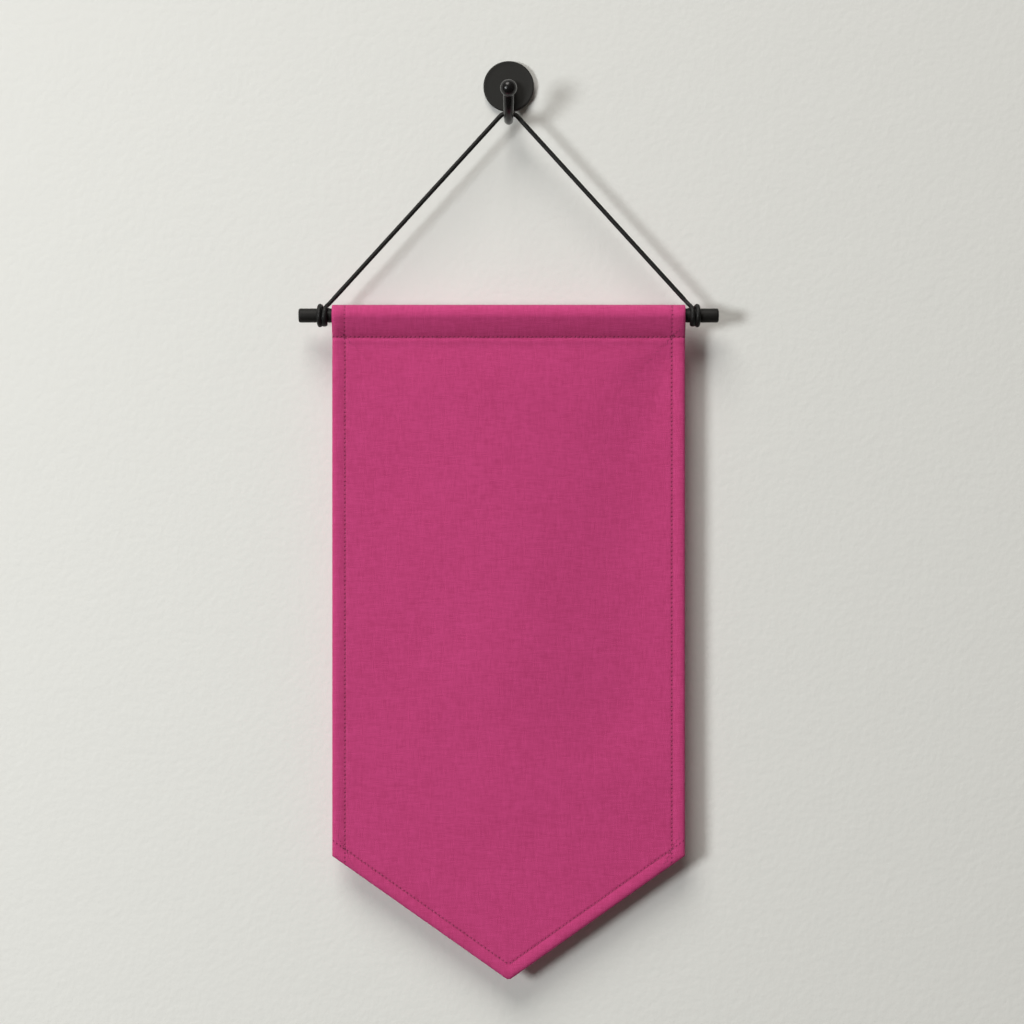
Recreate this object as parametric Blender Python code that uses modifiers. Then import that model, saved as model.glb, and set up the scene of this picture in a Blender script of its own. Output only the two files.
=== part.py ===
"""Pin display pennant on its rod, its cord and the wall hook that holds it.

Metres, +Z up. The wall is the plane y = 0 and every piece stands in front of it, at y < 0.
The origin is the centre of the hook plate's back face. The cord, the rod and the cloth hang
in one upright plane under the lowest point of the hook. Distances out from the wall are
given as positive numbers and turned into y by the functions that place things.
"""

import math

import bmesh
import bpy
from mathutils import Matrix, Vector

COLLECTION_NAME = "pin_display_pennant"
GAP = 0.0003  # clearance between pieces that touch

# Wall hook
PLATE_DIAMETER = 0.029
PLATE_THICK = 0.003
PLATE_BEVEL = 0.0005
HANG_OUT = 0.016  # the trough, and so everything that hangs, is this far from the wall
TROUGH_Z = -0.0215  # centre of the wire at its lowest point
POST_BEND = 0.005  # bend radius from the post into the back limb
TROUGH_BEND = 0.006  # bend radius from the back limb into the trough
NOSE_BEND = 0.020  # bend radius from the trough into the nose
NOSE_RISE = math.radians(52)  # slope of the nose at its top
BALL_Z = -0.0068
BALL_RADIUS = 0.00475
POST_RADIUS = 0.0030
TROUGH_RADIUS = 0.00255
NOSE_RADIUS = 0.00325

# Rod and cord
ROD_Z = -0.1323
ROD_RADIUS = 0.004
ROD_LENGTH = 0.238
ROD_BEVEL = 0.0005
CORD_RADIUS = 0.00125

# Route of the cord from the hook to the right-hand knot. The left side is its mirror image.
# Columns: x, z
CORD_ROUTE = (
    (0.0000, -0.01740),
    (0.0015, -0.01755),
    (0.0028, -0.01800),
    (0.0041, -0.01873),
    (0.0052, -0.01968),
    (0.0080, -0.02278),
    (0.0150, -0.03046),
    (0.0240, -0.04033),
    (0.0330, -0.05021),
    (0.0420, -0.06008),
    (0.0510, -0.06995),
    (0.0600, -0.07983),
    (0.0690, -0.08970),
    (0.0780, -0.09958),
    (0.0870, -0.10945),
    (0.0940, -0.11713),
    (0.0992, -0.12284),
)
CORD_STEPS = 2  # tube points for each interval of the route

# Knots: an outer ring of cord, a flatter turn beside it, and the tucked tail behind the rod
RING_X = 0.107
RING_RADIUS = 0.0012
TURN_X = 0.1044
TURN_HALF_WIDTH = 0.0019
TURN_HALF_THICK = 0.0010
TURN_TILT = math.radians(6)
TAIL_HALF_SIZE = (0.0026, 0.0017, 0.0021)

# Cloth, as it hangs
CLOTH_WIDTH = 0.200
SIDE_LENGTH = 0.3125  # from the top fold to where the point begins
POINT_LENGTH = 0.0705
CLOTH_THICK = 0.0016
POCKET_SLACK = 0.0005  # room between the rod and the pocket
POCKET_DEPTH = 0.0184  # from the top fold to the seam under the rod
SEAM_HALF_THICK = 0.0010
SEAM_ALLOWANCE = 0.0045  # the turned-down edge behind the seam
TUNNEL_TIP = 0.0017  # the empty part of the pocket ends this far above the seam
POCKET_ARC_STEPS = 5
PANEL_COLUMNS = 16
PANEL_ROWS = 20
FOLD_FADE = 0.014  # the folds start this far below the seam

# Turned hem, read inwards from the edge. Columns: distance from the edge, how far the front
# stands out past the plain cloth, how far the back does
HEM_PROFILE = (
    (0.0000, -0.00050, 0.00000),
    (0.0005, 0.00015, 0.00080),
    (0.0023, 0.00060, 0.00130),
    (0.0050, 0.00035, 0.00120),
    (0.0074, -0.00015, 0.00080),
    (0.0098, 0.00000, 0.00000),
)

# Soft folds of the panel. Each is a ridge or a trough that runs down the cloth.
# Columns: distance below the top fold, x of its middle, reach to the left, reach to the
# right, height towards the viewer
CROWN_FOLD = (
    (0.018, -0.022, 0.062, 0.074, 0.0002),
    (0.054, -0.016, 0.068, 0.062, 0.0016),
    (0.122, -0.008, 0.062, 0.051, 0.0022),
    (0.196, 0.004, 0.040, 0.045, 0.0020),
    (0.258, 0.012, 0.045, 0.045, 0.0010),
    (0.315, 0.018, 0.045, 0.040, 0.0005),
    (0.383, 0.018, 0.045, 0.040, 0.0003),
)
SIDE_FOLD = (
    (0.020, 0.090, 0.012, 0.006, -0.0006),
    (0.048, 0.083, 0.019, 0.011, -0.0017),
    (0.094, 0.073, 0.031, 0.020, -0.0016),
    (0.168, 0.068, 0.040, 0.024, -0.0014),
    (0.224, 0.064, 0.040, 0.028, -0.0016),
    (0.275, 0.057, 0.040, 0.034, -0.0003),
    (0.383, 0.050, 0.040, 0.034, 0.0000),
)
FOLDS = (CROWN_FOLD, SIDE_FOLD)

POINT_SLOPE = math.atan2(POINT_LENGTH, CLOTH_WIDTH / 2)
POCKET_RADIUS = ROD_RADIUS + POCKET_SLACK + CLOTH_THICK
TOP_Z = ROD_Z + POCKET_RADIUS
SEAM_Z = TOP_Z - POCKET_DEPTH


def clear_scene():
    """Start from an empty scene."""
    for thing in list(bpy.data.objects):
        bpy.data.objects.remove(thing)


def make_collection(name):
    collection = bpy.data.collections.new(name)
    bpy.context.scene.collection.children.link(collection)
    return collection


def make_material(name, colour, roughness, metallic=0.0):
    material = bpy.data.materials.new(name)
    material.use_nodes = True
    shader = material.node_tree.nodes["Principled BSDF"]
    shader.inputs["Base Color"].default_value = (*colour, 1.0)
    shader.inputs["Roughness"].default_value = roughness
    shader.inputs["Metallic"].default_value = metallic
    material.diffuse_color = (*colour, 1.0)
    return material


def add_object(name, data, collection):
    thing = bpy.data.objects.new(name, data)
    collection.objects.link(thing)
    return thing


def mesh_from_bmesh(name, shape):
    """Store a bmesh as a mesh whose faces point outwards."""
    bmesh.ops.recalc_face_normals(shape, faces=shape.faces)
    mesh = bpy.data.meshes.new(name)
    shape.to_mesh(mesh)
    shape.free()
    return mesh


def finish(thing, material, sharp_angle=math.radians(35)):
    """Give a piece its material and smooth shading with crisp corners."""
    thing.data.materials.clear()
    thing.data.materials.append(material)
    thing.data.shade_smooth()
    thing.data.set_sharp_from_angle(angle=sharp_angle)


def mark_as_cutter(thing):
    thing.hide_render = True
    thing.display_type = "WIRE"


def mesh_object_from_curve(curve_object, collection):
    """Turn a curve into a closed mesh object of the same name and place, and drop the curve."""
    name = curve_object.name
    depsgraph = bpy.context.evaluated_depsgraph_get()
    mesh = bpy.data.meshes.new_from_object(curve_object.evaluated_get(depsgraph))
    place = curve_object.matrix_world.copy()
    bpy.data.objects.remove(curve_object)
    shape = bmesh.new()
    shape.from_mesh(mesh)
    bpy.data.meshes.remove(mesh)
    bmesh.ops.remove_doubles(shape, verts=shape.verts, dist=1e-6)
    thing = add_object(name, mesh_from_bmesh(name, shape), collection)
    thing.matrix_world = place
    return thing


def join_with(base, *others):
    """Fuse other solids into base with exact Boolean unions."""
    for other in others:
        mark_as_cutter(other)
        union = base.modifiers.new("union_" + other.name, "BOOLEAN")
        union.operation = "UNION"
        union.solver = "EXACT"
        union.object = other


def arc(centre, radius, start, end, steps):
    """Points of an arc in the plane of (out, z), both ends included."""
    points = []
    for step in range(steps + 1):
        angle = start + (end - start) * step / steps
        out = centre[0] + radius * math.cos(angle)
        points.append((out, centre[1] + radius * math.sin(angle)))
    return points


def smooth_path(points, steps):
    """Points of a smooth curve that passes through every given point."""
    padded = [2 * points[0] - points[1], *points, 2 * points[-1] - points[-2]]
    path = []
    for before, start, end, after in zip(padded, padded[1:], padded[2:], padded[3:]):
        for step in range(steps):
            t = step / steps
            bend = 2 * before - 5 * start + 4 * end - after
            twist = 3 * start - before - 3 * end + after
            path.append(start + 0.5 * t * ((end - before) + t * (bend + t * twist)))
    path.append(points[-1])
    return path


def tube(name, points, radii, bevel_resolution, collection):
    """A closed tube along points, with a radius for each point."""
    curve = bpy.data.curves.new(name, "CURVE")
    curve.dimensions = "3D"
    curve.bevel_depth = 1.0
    curve.bevel_resolution = bevel_resolution
    curve.render_resolution_u = 0
    curve.use_fill_caps = True
    spline = curve.splines.new("POLY")
    spline.points.add(len(points) - 1)
    for point, place, radius in zip(spline.points, points, radii):
        point.co = (*place, 1.0)
        point.radius = radius
    return mesh_object_from_curve(add_object(name, curve, collection), collection)


def cylinder(name, radius, length, segments, collection):
    """A closed cylinder along local Z, centred on its own origin."""
    shape = bmesh.new()
    bmesh.ops.create_cone(
        shape, cap_ends=True, segments=segments, radius1=radius, radius2=radius, depth=length
    )
    return add_object(name, mesh_from_bmesh(name, shape), collection)


def add_bevel(thing, width):
    bevel = thing.modifiers.new("eased_edges", "BEVEL")
    bevel.width = width
    bevel.segments = 2
    bevel.limit_method = "ANGLE"
    bevel.angle_limit = math.radians(60)


def make_hook_plate(collection, material):
    plate = cylinder("hook_plate", PLATE_DIAMETER / 2, PLATE_THICK, 40, collection)
    plate.location = (0.0, -PLATE_THICK / 2, 0.0)
    plate.rotation_euler = (math.radians(90), 0.0, 0.0)
    add_bevel(plate, PLATE_BEVEL)
    finish(plate, material)


def hook_path():
    """Centre line of the arm in (out, z), and the places of its trough and ball."""
    back_out = HANG_OUT - TROUGH_BEND
    post = (PLATE_THICK + GAP, 0.0)
    post_bend = arc((back_out - POST_BEND, -POST_BEND), POST_BEND, math.pi / 2, 0.0, 5)
    trough_centre = (HANG_OUT, TROUGH_Z + TROUGH_BEND)
    trough = arc(trough_centre, TROUGH_BEND, math.pi, 1.5 * math.pi, 6)
    nose_centre = (HANG_OUT, TROUGH_Z + NOSE_BEND)
    nose = arc(nose_centre, NOSE_BEND, 1.5 * math.pi, 1.5 * math.pi + NOSE_RISE, 8)[1:]
    rise = BALL_Z - nose[-1][1]
    ball = (nose[-1][0] + rise / math.tan(NOSE_RISE), BALL_Z)
    path = [post, *post_bend, *trough, *nose, ball]
    return path, len(post_bend) + len(trough)


def make_hook_arm(collection, cutters, material):
    """The bent wire, thinnest in the trough, fused with the ball at its end."""
    path, low = hook_path()
    radii = []
    for index in range(len(path)):
        if index <= low:
            radii.append(POST_RADIUS + (TROUGH_RADIUS - POST_RADIUS) * index / low)
        else:
            share = (index - low) / (len(path) - 1 - low)
            radii.append(TROUGH_RADIUS + (NOSE_RADIUS - TROUGH_RADIUS) * share)
    points = [Vector((0.0, -out, z)) for out, z in path]
    arm = tube("hook_arm", points, radii, 5, collection)
    shape = bmesh.new()
    bmesh.ops.create_uvsphere(shape, u_segments=24, v_segments=14, radius=BALL_RADIUS)
    ball = add_object("hook_ball", mesh_from_bmesh("hook_ball", shape), cutters)
    ball.location = points[-1]
    join_with(arm, ball)
    finish(arm, material)


def make_rod(collection, material):
    rod = cylinder("rod", ROD_RADIUS, ROD_LENGTH, 32, collection)
    rod.location = (0.0, -HANG_OUT, ROD_Z)
    rod.rotation_euler = (0.0, math.radians(90), 0.0)
    add_bevel(rod, ROD_BEVEL)
    finish(rod, material)


def make_hanger_cord(collection, material):
    right = [Vector((x, -HANG_OUT, z)) for x, z in CORD_ROUTE]
    left = [Vector((-x, -HANG_OUT, z)) for x, z in reversed(CORD_ROUTE[1:])]
    path = smooth_path(left + right, CORD_STEPS)
    cord = tube("hanger_cord", path, [CORD_RADIUS] * len(path), 2, collection)
    finish(cord, material, math.radians(60))


def make_ring(name, x, major, half_width, half_thick, tilt, collection):
    """One turn of cord round the rod: a torus about X with an oval section."""
    shape = bmesh.new()
    around = 32
    section = 10
    for step in range(section):
        angle = 2 * math.pi * step / section
        radius = major + half_thick * math.cos(angle)
        shape.verts.new((half_width * math.sin(angle), 0.0, radius))
    points = list(shape.verts)
    edges = [shape.edges.new((points[i], points[(i + 1) % section])) for i in range(section)]
    bmesh.ops.spin(
        shape, geom=points + edges, axis=(1.0, 0.0, 0.0), cent=(0.0, 0.0, 0.0),
        angle=2 * math.pi, steps=around, use_merge=True
    )
    ring = add_object(name, mesh_from_bmesh(name, shape), collection)
    ring.location = (x, -HANG_OUT, ROD_Z)
    ring.rotation_euler = (0.0, 0.0, tilt)
    return ring


def make_knot(name, side, collection, cutters, material):
    """The turns of cord on one end of the rod; side is -1 for the left end, 1 for the right."""
    ring_major = ROD_RADIUS + GAP + RING_RADIUS
    turn_major = ROD_RADIUS + GAP + TURN_HALF_THICK
    knot = make_ring(
        name, side * RING_X, ring_major, RING_RADIUS, RING_RADIUS, 0.0, collection
    )
    turn = make_ring(
        name + "_turn", side * TURN_X, turn_major, TURN_HALF_WIDTH, TURN_HALF_THICK,
        side * TURN_TILT, cutters
    )
    before, last = CORD_ROUTE[-2:]
    leg = Vector((last[0] - before[0], 0.0, last[1] - before[1])).normalized()
    start = Vector((last[0], 0.0, last[1])) + GAP * leg
    length = (start.z - (ROD_Z + turn_major)) / -leg.z
    middle = start + 0.5 * length * leg
    stub = cylinder(name + "_stub", CORD_RADIUS, length, 10, cutters)
    stub.location = (side * middle.x, -HANG_OUT, middle.z)
    direction = Vector((side * leg.x, 0.0, leg.z))
    stub.rotation_euler = direction.to_track_quat("Z", "Y").to_euler()
    shape = bmesh.new()
    bmesh.ops.create_uvsphere(shape, u_segments=14, v_segments=8, radius=1.0)
    bmesh.ops.scale(shape, vec=TAIL_HALF_SIZE, verts=shape.verts)
    tail = add_object(name + "_tail", mesh_from_bmesh(name + "_tail", shape), cutters)
    tail_out = HANG_OUT - ROD_RADIUS - GAP - TAIL_HALF_SIZE[1]
    tail.location = (side * (RING_X + TURN_X) / 2, -tail_out, ROD_Z)
    join_with(knot, turn, stub, tail)
    finish(knot, material)


def teardrop(radius, tip_half, tip_z, steps):
    """Right half of a loop over the rod in (out, z), from its tip below to its top.

    Straight flanks leave the tip and touch a circle of the given radius round the rod.
    """
    reach = math.hypot(tip_half, tip_z)
    start = math.atan2(tip_half, -tip_z) + math.acos(radius / reach)
    points = [(tip_half, tip_z)]
    for step in range(steps + 1):
        angle = start + (math.pi - start) * step / steps
        points.append((radius * math.sin(angle), -radius * math.cos(angle)))
    return points


def point_edge_z(x):
    """Height of the cloth's lower edge at x."""
    return TOP_Z - SIDE_LENGTH - POINT_LENGTH * (1 - abs(x) / (CLOTH_WIDTH / 2))


def read_table(table, key):
    """Smoothly read the other columns of a table at a value of its first column."""
    if key <= table[0][0]:
        return table[0][1:]
    for low, high in zip(table, table[1:]):
        if key <= high[0]:
            share = (key - low[0]) / (high[0] - low[0])
            share = share * share * (3 - 2 * share)
            return [a + (b - a) * share for a, b in zip(low[1:], high[1:])]
    return table[-1][1:]


def fold_height(x, z):
    """How far the folds bring the panel towards the viewer at (x, z)."""
    drop = TOP_Z - z
    height = 0.0
    for fold in FOLDS:
        middle, left, right, amount = read_table(fold, drop)
        offset = (x - middle) / (left if x < middle else right)
        height += amount * math.exp(-offset * offset)
    fade = min(1.0, max(0.0, (SEAM_Z - z) / FOLD_FADE))
    return height * fade * fade * (3 - 2 * fade)


def hem_swell(x, z):
    """How far the turned hem swells the front and the back of the cloth at (x, z)."""
    from_side = CLOTH_WIDTH / 2 - abs(x)
    from_point = (z - point_edge_z(x)) * math.cos(POINT_SLOPE)
    return read_table(HEM_PROFILE, min(from_side, from_point))


def cloth_columns():
    """x of each column of the cloth, left to right, with close columns in the hems."""
    half = CLOTH_WIDTH / 2
    hem = [row[0] for row in HEM_PROFILE]
    inner = half - hem[-1]
    middle = [inner * (2 * step / PANEL_COLUMNS - 1) for step in range(1, PANEL_COLUMNS)]
    return [e - half for e in hem] + middle + [half - e for e in reversed(hem)]


def cloth_column_points(x):
    """Front and back points of the cloth at one column, from its lower edge to the top fold."""
    front = []
    back = []
    edge = point_edge_z(x)
    levels = [edge + row[0] / math.cos(POINT_SLOPE) for row in HEM_PROFILE]
    lowest = levels[-1]
    highest = SEAM_Z - SEAM_ALLOWANCE
    for step in range(1, PANEL_ROWS + 1):
        levels.append(lowest + (highest - lowest) * step / PANEL_ROWS)
    for z in levels:
        front_swell, back_swell = hem_swell(x, z)
        fold = fold_height(x, z)
        front.append((HANG_OUT + fold + CLOTH_THICK / 2 + front_swell, z))
        back.append((HANG_OUT + fold - CLOTH_THICK / 2 - back_swell, z))
    front_swell, back_swell = hem_swell(x, SEAM_Z)
    for rise in (0.15 * SEAM_ALLOWANCE, 0.6 * SEAM_ALLOWANCE):
        z = highest + rise
        front.append((HANG_OUT + CLOTH_THICK / 2 + front_swell, z))
        back.append((HANG_OUT - 1.4 * CLOTH_THICK - back_swell, z))
    for out, z in teardrop(POCKET_RADIUS, SEAM_HALF_THICK, SEAM_Z - ROD_Z, POCKET_ARC_STEPS):
        away = Vector((out, max(0.0, z))).normalized()
        for side, swell, points in ((1, front_swell, front), (-1, front_swell, back)):
            place = (HANG_OUT + side * (out + swell * away.x), ROD_Z + z + swell * away.y)
            points.append(place)
    return front, back


def make_pennant(collection, cutters, material):
    """The cloth: a front and a back skin that share columns and rows, with a cut tunnel."""
    shape = bmesh.new()
    grids = []
    for x in cloth_columns():
        front, back = cloth_column_points(x)
        front_points = [shape.verts.new((x, -out, z)) for out, z in front]
        back_points = [shape.verts.new((x, -out, z)) for out, z in back[:-1]]
        grids.append((front_points, back_points + front_points[-1:]))
    for (front_a, back_a), (front_b, back_b) in zip(grids, grids[1:]):
        for row in range(len(front_a) - 1):
            shape.faces.new((front_a[row], front_b[row], front_b[row + 1], front_a[row + 1]))
            shape.faces.new((back_b[row], back_a[row], back_a[row + 1], back_b[row + 1]))
        shape.faces.new((front_b[0], front_a[0], back_a[0], back_b[0]))
    for (front, back), turned in ((grids[0], False), (grids[-1], True)):
        for row in range(len(front) - 2):
            corners = [back[row], front[row], front[row + 1], back[row + 1]]
            shape.faces.new(corners[::-1] if turned else corners)
        corners = [back[-2], front[-2], front[-1]]
        shape.faces.new(corners[::-1] if turned else corners)
    pennant = add_object("pennant", mesh_from_bmesh("pennant", shape), collection)

    half = teardrop(ROD_RADIUS + POCKET_SLACK, 0.0, SEAM_Z + TUNNEL_TIP - ROD_Z, 10)
    outline = half + [(-out, z) for out, z in reversed(half[1:-1])]
    curve = bpy.data.curves.new("rod_tunnel", "CURVE")
    curve.dimensions = "2D"
    curve.fill_mode = "BOTH"
    curve.extrude = 0.6 * CLOTH_WIDTH
    curve.render_resolution_u = 0
    spline = curve.splines.new("POLY")
    spline.use_cyclic_u = True
    spline.points.add(len(outline) - 1)
    for point, (out, z) in zip(spline.points, outline):
        point.co = (out, z, 0.0, 1.0)
    tunnel = add_object("rod_tunnel", curve, cutters)
    axes = Matrix(((0, 0, -1), (-1, 0, 0), (0, 1, 0))).to_4x4()
    tunnel.matrix_world = Matrix.Translation((0.0, -HANG_OUT, ROD_Z)) @ axes
    bpy.context.view_layer.update()
    tunnel = mesh_object_from_curve(tunnel, cutters)
    mark_as_cutter(tunnel)
    cut = pennant.modifiers.new("rod_tunnel", "BOOLEAN")
    cut.operation = "DIFFERENCE"
    cut.solver = "EXACT"
    cut.object = tunnel
    finish(pennant, material)


def main():
    clear_scene()
    parts = make_collection(COLLECTION_NAME)
    cutters = make_collection("cutters")
    canvas = make_material("magenta_canvas", (0.46, 0.055, 0.165), 0.85)
    black_rod = make_material("black_rod", (0.022, 0.021, 0.020), 0.45)
    black_cord = make_material("black_cord", (0.018, 0.017, 0.017), 0.65)
    plate_paint = make_material("matt_black_paint", (0.028, 0.027, 0.025), 0.55)
    arm_paint = make_material("gloss_black_paint", (0.016, 0.016, 0.016), 0.22)
    make_hook_plate(parts, plate_paint)
    make_hook_arm(parts, cutters, arm_paint)
    make_hanger_cord(parts, black_cord)
    make_knot("knot_left", -1, parts, cutters, black_cord)
    make_knot("knot_right", 1, parts, cutters, black_cord)
    make_rod(parts, black_rod)
    make_pennant(parts, cutters, canvas)


main()
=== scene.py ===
"""Looks of the pin display pennant: woven canvas, braided cord, painted rod and wall hook."""

import math

import bpy
import numpy as np
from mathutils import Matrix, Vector


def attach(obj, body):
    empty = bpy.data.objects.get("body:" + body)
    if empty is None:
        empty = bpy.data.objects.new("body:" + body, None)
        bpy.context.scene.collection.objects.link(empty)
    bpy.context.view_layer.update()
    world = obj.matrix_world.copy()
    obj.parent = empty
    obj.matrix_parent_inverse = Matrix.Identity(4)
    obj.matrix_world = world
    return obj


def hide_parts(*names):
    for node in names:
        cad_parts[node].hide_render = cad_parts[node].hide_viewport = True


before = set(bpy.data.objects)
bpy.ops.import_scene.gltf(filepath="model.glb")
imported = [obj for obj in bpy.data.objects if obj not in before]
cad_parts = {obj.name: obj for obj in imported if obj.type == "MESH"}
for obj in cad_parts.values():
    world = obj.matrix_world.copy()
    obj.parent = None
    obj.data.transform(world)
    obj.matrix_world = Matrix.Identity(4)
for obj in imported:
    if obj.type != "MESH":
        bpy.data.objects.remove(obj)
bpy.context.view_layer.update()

# Places and sizes shared with the solids, in metres
BODY = "root"
HANG_OUT = 0.016  # cord, rod and cloth hang this far from the wall
ROD_Z = -0.1323
ROD_RADIUS = 0.004
ROD_LENGTH = 0.238
CLOTH_WIDTH = 0.200
SIDE_LENGTH = 0.3125
POINT_LENGTH = 0.0705
SOLID_THICK = 0.0016
POCKET_RADIUS = 0.0061
POCKET_DEPTH = 0.0184
SEAM_HALF_THICK = 0.0010
SEAM_ALLOWANCE = 0.0045
FOLD_FADE = 0.014
TOP_Z = ROD_Z + POCKET_RADIUS
SEAM_Z = TOP_Z - POCKET_DEPTH
POINT_SLOPE = math.atan2(POINT_LENGTH, CLOTH_WIDTH / 2)

# Route of the cord from the hook to the right-hand knot, mirrored for the left. Columns: x, z
CORD_ROUTE = (
    (0.0000, -0.01740),
    (0.0015, -0.01755),
    (0.0028, -0.01800),
    (0.0041, -0.01873),
    (0.0052, -0.01968),
    (0.0080, -0.02278),
    (0.0150, -0.03046),
    (0.0240, -0.04033),
    (0.0330, -0.05021),
    (0.0420, -0.06008),
    (0.0510, -0.06995),
    (0.0600, -0.07983),
    (0.0690, -0.08970),
    (0.0780, -0.09958),
    (0.0870, -0.10945),
    (0.0940, -0.11713),
    (0.0992, -0.12284),
)

# Camera: straight on, with 0.567 mm to a pixel in the plane of the cloth
CAMERA_DISTANCE = 1.4
FRAME_WIDTH = 0.5806
CAMERA_X = 0.0019
CAMERA_Z = -0.2437
SENSOR_WIDTH = 36.0

# Hook
PLATE_THICK = 0.003
TROUGH_Z = -0.0215
POST_BEND = 0.005
TROUGH_BEND = 0.006
NOSE_BEND = 0.020
NOSE_RISE = math.radians(52)
BALL_Z = -0.0068
BALL_RADIUS = 0.00475
POST_RADIUS = 0.0030
TROUGH_RADIUS = 0.00255
NOSE_RADIUS = 0.00325
BALL_BLEND = 0.0006  # size of the fillet between the nose and the ball
TIP_RADIUS = 0.00002  # of the last ring, which closes the ball
ARM_STEP = 0.00022
ARM_SIDES = 48
PLATE_SIDES = 128
ROD_SIDES = 64

# Braid of the cord
BRAID_STRANDS = 8
BRAID_PITCH = 0.00135
BRAID_DEPTH = 0.16  # share of the radius that the grooves go in
CREST_RADIUS = 0.00136  # of the strands' tops, so that the mean is the cord's radius
CORD_STEP = 0.00028
ROUTE_STEPS = 8
CORD_SIDES = 32

TURN_RADIUS = 0.005  # turns an angle round the rod into a length, for the smoothing
KNOT_STEPS = 6

# How the cord winds round the rod. Columns: angle from the top over the front in degrees, x,
# distance from the rod's axis, half width, half thickness
KNOT_TURNS = (
    (-1, 0.0990, 0.00968, 0.00125, 0.00125),
    (0, 0.1004, 0.00814, 0.00125, 0.00125),
    (4, 0.1017, 0.00672, 0.00132, 0.00120),
    (18, 0.1029, 0.00568, 0.00150, 0.00112),
    (50, 0.1038, 0.00540, 0.00178, 0.00104),
    (100, 0.1043, 0.00535, 0.00185, 0.00102),
    (160, 0.1044, 0.00534, 0.00180, 0.00104),
    (230, 0.1047, 0.00535, 0.00165, 0.00108),
    (290, 0.1055, 0.00540, 0.00150, 0.00112),
    (340, 0.1065, 0.00548, 0.00140, 0.00118),
    (390, 0.1070, 0.00550, 0.00135, 0.00120),
    (450, 0.1072, 0.00550, 0.00135, 0.00120),
    (510, 0.1071, 0.00550, 0.00135, 0.00120),
    (560, 0.1069, 0.00556, 0.00135, 0.00120),
    (595, 0.1062, 0.00610, 0.00130, 0.00122),
    (620, 0.1050, 0.00690, 0.00128, 0.00124),
    (645, 0.1036, 0.00705, 0.00125, 0.00125),
    (668, 0.1024, 0.00665, 0.00120, 0.00120),
)

# Surroundings, which aren't part of the object. Columns: name, place, target, size, power,
# colour
WALL_Y = 0.0006
WALL_COLOUR = (0.79, 0.80, 0.775)
SKY_COLOUR = (0.150, 0.140, 0.125)
GROUND_COLOUR = (0.045, 0.038, 0.031)
LIGHTS = (
    ("window", (-1.58, -1.94, -0.20), (0.0, 0.0, -0.25), 0.66, 34.0, (0.985, 1.0, 1.0)),
    ("ceiling", (-1.3, -3.2, 4.4), (0.0, 0.0, -0.25), 3.4, 240.0, (1.0, 0.965, 0.92)),
    ("back_left", (-1.8, 2.2, 0.6), (0.0, 0.0, -0.25), 1.2, 6.0, (1.0, 1.0, 1.0)),
    ("back_right", (1.8, 2.2, 0.9), (0.0, 0.0, -0.25), 1.2, 4.0, (1.0, 0.96, 0.92)),
)

# Cloth as it looks
SHEET_THICK = 0.0014
STITCH_PITCH = 0.00245
THREAD_RADIUS = 0.00017
THREAD_SIDES = 6
HEM_STITCH = 0.0074  # the stitches run this far in from the edge
WEAVE_PITCH = 0.00062
PANEL_COLUMNS = 84
PANEL_ROWS = 196
CIRCLE_ROWS = 25

# One stitch. Columns: share of its length, height in thread radii, thickness as a share
THREAD_SHAPE = (
    (0.06, -0.8, 0.50),
    (0.18, 0.25, 0.90),
    (0.50, 0.75, 1.05),
    (0.82, 0.25, 0.90),
    (0.94, -0.8, 0.50),
)

# Turned hem, read inwards from the edge. Columns: distance from the edge, how far the front
# stands out past the plain cloth, how far the back does
HEM_PROFILE = (
    (0.0000, -0.00055, 0.00000),
    (0.0003, -0.00015, 0.00045),
    (0.0008, 0.00022, 0.00090),
    (0.0016, 0.00046, 0.00118),
    (0.0026, 0.00058, 0.00128),
    (0.0042, 0.00048, 0.00125),
    (0.0058, 0.00020, 0.00115),
    (0.0068, -0.00004, 0.00100),
    (0.0074, -0.00018, 0.00085),
    (0.0080, -0.00005, 0.00095),
    (0.0085, 0.00001, 0.00095),
    (0.0089, 0.00002, 0.00035),
    (0.0094, 0.00002, 0.00000),
    (0.0110, 0.00000, 0.00000),
)

# Soft folds of the panel. Columns: distance below the top fold, x of the middle, reach to
# the left, reach to the right, height towards the viewer
CROWN_FOLD = (
    (0.018, -0.022, 0.062, 0.074, 0.0002),
    (0.054, -0.016, 0.068, 0.062, 0.0016),
    (0.122, -0.008, 0.062, 0.051, 0.0022),
    (0.196, 0.004, 0.040, 0.045, 0.0020),
    (0.258, 0.012, 0.045, 0.045, 0.0010),
    (0.315, 0.018, 0.045, 0.040, 0.0005),
    (0.383, 0.018, 0.045, 0.040, 0.0003),
)
SIDE_FOLD = (
    (0.020, 0.090, 0.012, 0.006, -0.0006),
    (0.048, 0.083, 0.019, 0.011, -0.0017),
    (0.094, 0.073, 0.031, 0.020, -0.0016),
    (0.168, 0.068, 0.040, 0.024, -0.0020),
    (0.224, 0.064, 0.040, 0.028, -0.0022),
    (0.275, 0.057, 0.040, 0.034, -0.0003),
    (0.383, 0.050, 0.040, 0.034, 0.0000),
)
FOLDS = (CROWN_FOLD, SIDE_FOLD)


def make_camera():
    data = bpy.data.cameras.new("camera")
    data.sensor_width = SENSOR_WIDTH
    data.lens = SENSOR_WIDTH * CAMERA_DISTANCE / FRAME_WIDTH
    camera = bpy.data.objects.new("camera", data)
    camera.location = (CAMERA_X, -HANG_OUT - CAMERA_DISTANCE, CAMERA_Z)
    camera.rotation_euler = (math.radians(90), 0.0, 0.0)
    bpy.context.scene.collection.objects.link(camera)
    bpy.context.scene.camera = camera
    bpy.context.scene.view_settings.view_transform = "Standard"


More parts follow.
